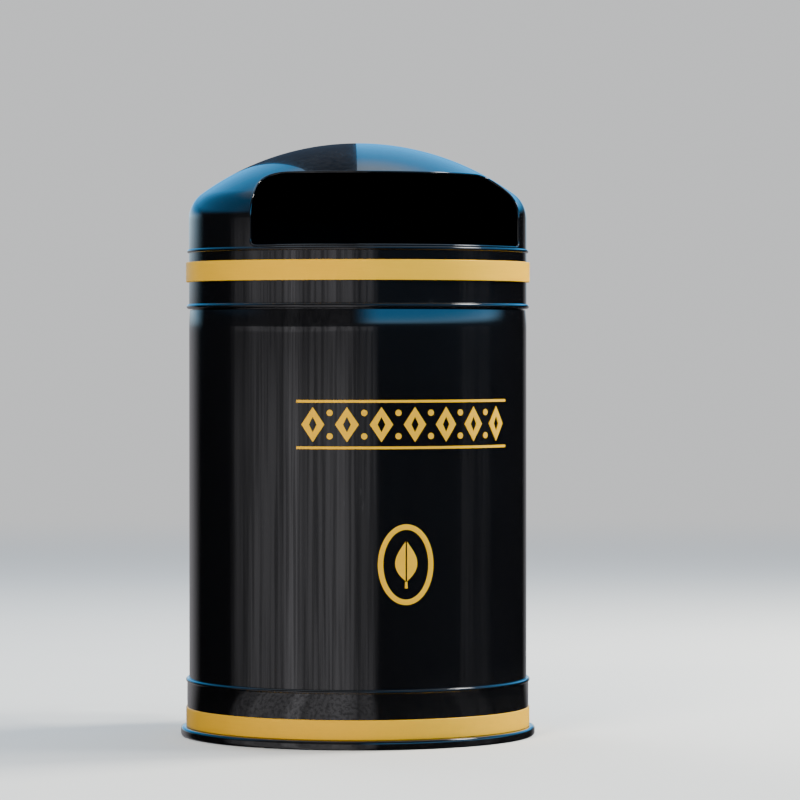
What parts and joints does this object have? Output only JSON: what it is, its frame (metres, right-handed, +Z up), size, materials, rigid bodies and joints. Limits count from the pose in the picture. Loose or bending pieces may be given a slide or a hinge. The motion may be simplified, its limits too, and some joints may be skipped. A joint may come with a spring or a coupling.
{
  "type": "litter bin",
  "caption": "Round post-mounted street litter bin with a domed, side-hinged hood, a wide front aperture, gold bands and a lift-out steel liner.",
  "frame": {"origin": "centre of the base's underside", "axes": "+Z up along the bin's axis; -Y to the front with the aperture; +Y towards the post; +X to the side with the hood's hinge"},
  "size_m": [0.4224, 0.5953, 0.7006],
  "materials": {
    "black_gloss_paint": "high-gloss black powder coat",
    "gold_paint": "satin gold paint",
    "galvanised_steel": "hot-dip galvanised, spangled",
    "stainless_steel": "brushed stainless steel",
    "black_rubber": "matt moulded rubber",
    "lock_brass": "dulled brass",
    "black_satin_steel": "satin black powder coat on steel"
  },
  "bodies": {
    "casing": {"body_shell": "black_gloss_paint", "body_collar": "black_gloss_paint", "base_plate": "black_gloss_paint", "base_ring": "black_gloss_paint", "base_band": "gold_paint", "base_sleeve": "black_gloss_paint", "liner_pads": "black_rubber", "front_frieze": "gold_paint", "emblem_ring": "gold_paint", "emblem_leaf": "gold_paint", "channel_saddle": "black_satin_steel", "mounting_channel": "black_satin_steel", "backing_plate": "galvanised_steel", "channel_bolts": "stainless_steel", "channel_washers": "stainless_steel", "channel_nuts": "stainless_steel", "post_band_upper": "stainless_steel", "post_band_lower": "stainless_steel", "band_buckle_upper": "stainless_steel", "band_buckle_lower": "stainless_steel", "band_screw_upper": "stainless_steel", "band_screw_lower": "stainless_steel", "hinge_body_leaf": "black_gloss_paint", "hinge_pin": "stainless_steel", "hinge_body_rivets": "stainless_steel", "lock_keeper": "galvanised_steel"},
    "hood": {"hood_skirt": "black_gloss_paint", "hood_dome": "black_gloss_paint", "hood_hem": "black_gloss_paint", "hood_band": "gold_paint", "hood_bead": "black_gloss_paint", "aperture_trim": "black_gloss_paint", "hinge_hood_leaf": "black_gloss_paint", "hinge_hood_rivets": "stainless_steel", "lock_housing": "lock_brass", "lock_nut": "lock_brass"},
    "lock": {"lock_barrel": "lock_brass", "lock_cam": "galvanised_steel", "cam_screw": "stainless_steel"},
    "liner": {"liner_bucket": "galvanised_steel", "liner_rim": "galvanised_steel", "handle_ears": "galvanised_steel"},
    "handle_left": {"handle_left": "galvanised_steel"},
    "handle_right": {"handle_right": "galvanised_steel"}
  },
  "joints": [
    {"name": "hood_hinge", "type": "hinge", "parent": "casing", "child": "hood", "pos_m": [0.20085, 0.05008, 0.507], "axis": [-0.2419, 0.9703, 0], "range_deg": [0, 105]},
    {"name": "lock_turn", "type": "hinge", "parent": "hood", "child": "lock", "pos_m": [-0.15321, 0.12856, 0.5234], "axis": [-0.766, 0.6428, 0], "range_deg": [0, 90]},
    {"name": "liner_lift", "type": "slide", "parent": "casing", "child": "liner", "axis": [0, 0, 1], "range_m": [0, 0.08]},
    {"name": "handle_left_swing", "type": "hinge", "parent": "liner", "child": "handle_left", "pos_m": [-0.158, 0, 0.47], "axis": [0, -1, 0], "range_deg": [0, 165]},
    {"name": "handle_right_swing", "type": "hinge", "parent": "liner", "child": "handle_right", "pos_m": [0.158, 0, 0.47], "axis": [0, 1, 0], "range_deg": [0, 165]}
  ]
}
